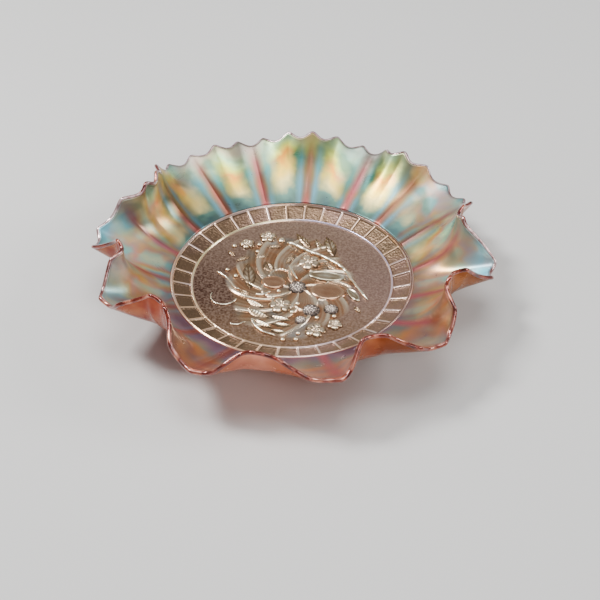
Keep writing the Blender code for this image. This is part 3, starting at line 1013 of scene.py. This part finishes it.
def ring_glass():
    """Brown stippled pockets between pale bars, darker on the left as painted shade, with a pale inner bead
    and a dark outer one; the bars and inner bead carry painted highlights.
    """
    surface = Surface("iridised_ring", Metallic=0.6, IOR=1.52, Specular_IOR_Level=0.3)
    pockets = surface.number("pocket")
    clouds = surface.noise(0.020)
    grain = surface.scaled(surface.dimples(0.0011), 0.1, 0.6)
    floor = surface.ramp(clouds, (0.35, (92, 78, 58)), (0.50, (114, 92, 70)), (0.65, (132, 104, 94)))
    floor = surface.mix(surface.product(grain, 0.35), floor, colour(176, 140, 112))
    # Painted shade: the pockets darken towards the left.
    right = surface.scaled(surface.along("X"), -0.045, 0.015, 0.25, 0.9)
    floor = surface.mix(right, colour(92, 72, 54), floor)
    # Painted highlight: the bars are pale all round, as where the light catches their bevels.
    bar_highlights = surface.ramp(clouds, (0.35, (226, 186, 150)), (0.65, (236, 206, 196)))
    tones = surface.mix(surface.scaled(pockets, 0.0, 0.22), bar_highlights, floor)
    outer = surface.product(surface.number("outer_bead"), right)
    tones = surface.mix(outer, tones, colour(104, 66, 56))
    # Painted highlight over the bead's gold and lavender film, brightest at the back.
    sideways = surface.scaled(surface.along("X"), -0.04, 0.04)
    bead_film_and_highlight = surface.ramp(sideways, (0.3, (255, 238, 180)), (0.7, (226, 212, 246)))
    back = surface.scaled(surface.along("Y"), -0.03, 0.03, 0.25, 1.0)
    tones = surface.mix(surface.product(surface.number("inner_bead"), back), tones, bead_film_and_highlight)
    surface.feed("Base Color", tones)
    surface.feed("Roughness", surface.scaled(pockets, 0.0, 1.0, 0.14, 0.34))
    surface.bump(surface.noise(0.0008, detail=2.0), 0.25, 0.0002)
    return surface.material


def plain_floor(surface):
    """The stippled floor: darker on the left as painted shade, and lighter at the front, the back and the
    right as painted reflections.
    """
    clouds = surface.noise(0.024, detail=3.0, distortion=0.5)
    # Painted shade: darker on the left, lighter towards the right.
    across = surface.math("MULTIPLY_ADD", clouds, 0.05, surface.along("X"))
    tones = surface.ramp(
        surface.scaled(across, -0.03, 0.08),
        (0.0, (70, 42, 30)), (0.5, (132, 100, 80)), (1.0, (168, 136, 124)),
    )
    # Painted reflections: lighter at the front and at the back.
    front = surface.scaled(surface.along("Y"), -0.015, -0.05, 0.0, 0.7)
    tones = surface.mix(front, tones, colour(160, 126, 92))
    back = surface.scaled(surface.along("Y"), 0.0, 0.05, 0.0, 0.7)
    tones = surface.mix(back, tones, colour(170, 142, 124))
    grain = surface.scaled(surface.dimples(0.0013), 0.15, 0.55)
    mottle = surface.scaled(surface.noise(0.0012, detail=3.0), 0.38, 0.66)
    tones = surface.mix(surface.product(grain, 0.34), tones, colour(70, 46, 38))
    return surface.mix(surface.product(mottle, 0.36), tones, colour(206, 176, 156))


def flower_film(surface):
    """The great flower, with painted shade in its creases and painted highlights on its crests."""
    flower = surface.ramp(
        surface.noise(0.014, detail=1.0),
        (0.32, (154, 146, 134)), (0.44, (172, 138, 104)), (0.54, (182, 128, 88)), (0.64, (196, 160, 128)),
        (0.76, (200, 192, 182)),
    )
    crest = surface.number("crest")
    # Painted shade in the creases, then a painted highlight on the crests.
    flower = surface.mix(surface.scaled(crest, 0.05, 0.40, 0.45, 0.0), flower, colour(96, 68, 52))
    return surface.mix(surface.scaled(crest, 0.36, 0.95, 0.0, 0.90), flower, colour(255, 236, 206))


def floor_glass():
    """The medallion's film, duller on the plain floor than on the great flower."""
    surface = Surface("iridised_floor", IOR=1.52, Specular_IOR_Level=0.3)
    inside = surface.number("inside_flower")
    flowery = surface.scaled(inside, 0.0, 1.0, 0.0, 0.9)
    surface.feed("Base Color", surface.mix(flowery, plain_floor(surface), flower_film(surface)))
    surface.feed("Roughness", surface.scaled(inside, 0.0, 1.0, 0.22, 0.18))
    surface.feed("Metallic", surface.scaled(inside, 0.0, 1.0, 0.60, 0.75))
    surface.bump(surface.noise(0.0009, detail=2.0), 0.25, 0.0003)
    return surface.material


def relief_glass(name, low, middle, high):
    """The film on one kind of relief, with painted shade in its creases and a painted highlight on its
    crests.
    """
    surface = Surface(name, Metallic=0.8, IOR=1.52, Coat_Weight=0.3, Coat_Roughness=0.05)
    drift = surface.scaled(surface.noise(0.009, detail=2.0), 0.3, 0.7, -1, 1)
    crest = surface.math("MULTIPLY_ADD", drift, 0.12, surface.number("crest"))
    # The low colour is painted shade in the creases, and the high colour a painted highlight on the crests.
    surface.feed("Base Color", surface.ramp(crest, (0.15, low), (0.60, middle), (0.95, high)))
    surface.feed("Roughness", surface.scaled(surface.noise(0.003), 0.3, 0.7, 0.12, 0.22))
    return surface.material


def foot_glass():
    """Plain amber glass that lets some light through."""
    surface = Surface(
        "amber_foot", IOR=1.52, Transmission_Weight=0.35, Coat_Weight=0.4, Coat_Roughness=0.08
    )
    tones = surface.ramp(surface.noise(0.02), (0.35, (196, 110, 56)), (0.65, (214, 140, 84)))
    surface.feed("Base Color", tones)
    surface.feed("Roughness", surface.scaled(surface.noise(0.004), 0.3, 0.7, 0.14, 0.30))
    return surface.material


# Stage


def make_stage():
    """A wide pale floor under the bowl."""
    bpy.ops.mesh.primitive_plane_add(size=6.0)
    floor = bpy.context.object
    floor.name = "stage_floor"
    surface = Surface("pale_floor", Roughness=0.85, Specular_IOR_Level=0.2)
    tones = surface.ramp(surface.noise(0.8), (0.3, (214, 213, 211)), (0.7, (222, 221, 219)))
    surface.feed("Base Color", tones)
    floor.data.materials.append(surface.material)


def add_area(name, place, size, power):
    """A soft rectangular light that faces the bowl."""
    data = bpy.data.lights.new(name, "AREA")
    data.shape = "RECTANGLE"
    data.size, data.size_y = size
    data.energy = power
    light = bpy.data.objects.new(name, data)
    light.location = place
    aim = Vector(BOWL_MIDDLE) - Vector(place)
    light.rotation_euler = aim.to_track_quat("-Z", "Y").to_euler()
    bpy.context.scene.collection.objects.link(light)


def make_lights():
    """Four soft lamps and a dim, even room."""
    add_area("key", (-0.62, 0.25, 0.95), (0.30, 0.30), 14)
    add_area("overhead", (0.05, 0.10, 1.3), (0.8, 0.6), 9)
    add_area("front_fill", (0.4, -1.2, 1.0), (0.8, 0.5), 6)
    add_area("side_fill", (0.95, 0.10, 0.60), (0.35, 0.35), 5)
    world = bpy.data.worlds.new("soft_room")
    world.use_nodes = True
    background = world.node_tree.nodes["Background"]
    background.inputs["Color"].default_value = (0.75, 0.78, 0.82, 1.0)
    background.inputs["Strength"].default_value = 0.25
    bpy.context.scene.world = world


def make_camera():
    """The photo's view: from the front and above, with a slight roll."""
    data = bpy.data.cameras.new("camera")
    data.lens = CAMERA_LENS
    data.sensor_width = CAMERA_SENSOR
    camera = bpy.data.objects.new("camera", data)
    look_down = math.radians(CAMERA_LOOK_DOWN)
    roll = math.radians(CAMERA_ROLL)
    turned = Matrix.Rotation(math.pi / 2 - look_down, 4, "X") @ Matrix.Rotation(-roll, 4, "Z")
    camera.matrix_world = Matrix.Translation(CAMERA_PLACE) @ turned
    bpy.context.scene.collection.objects.link(camera)
    bpy.context.scene.camera = camera


make_camera()
outside = outside_glass()
make_wall(wall_inside(), outside)
make_rim(rim_glass())
make_ring(ring_glass(), outside)
make_floor(floor_glass(), outside)
make_foot(foot_glass())
make_sprays()
make_stage()
make_lights()
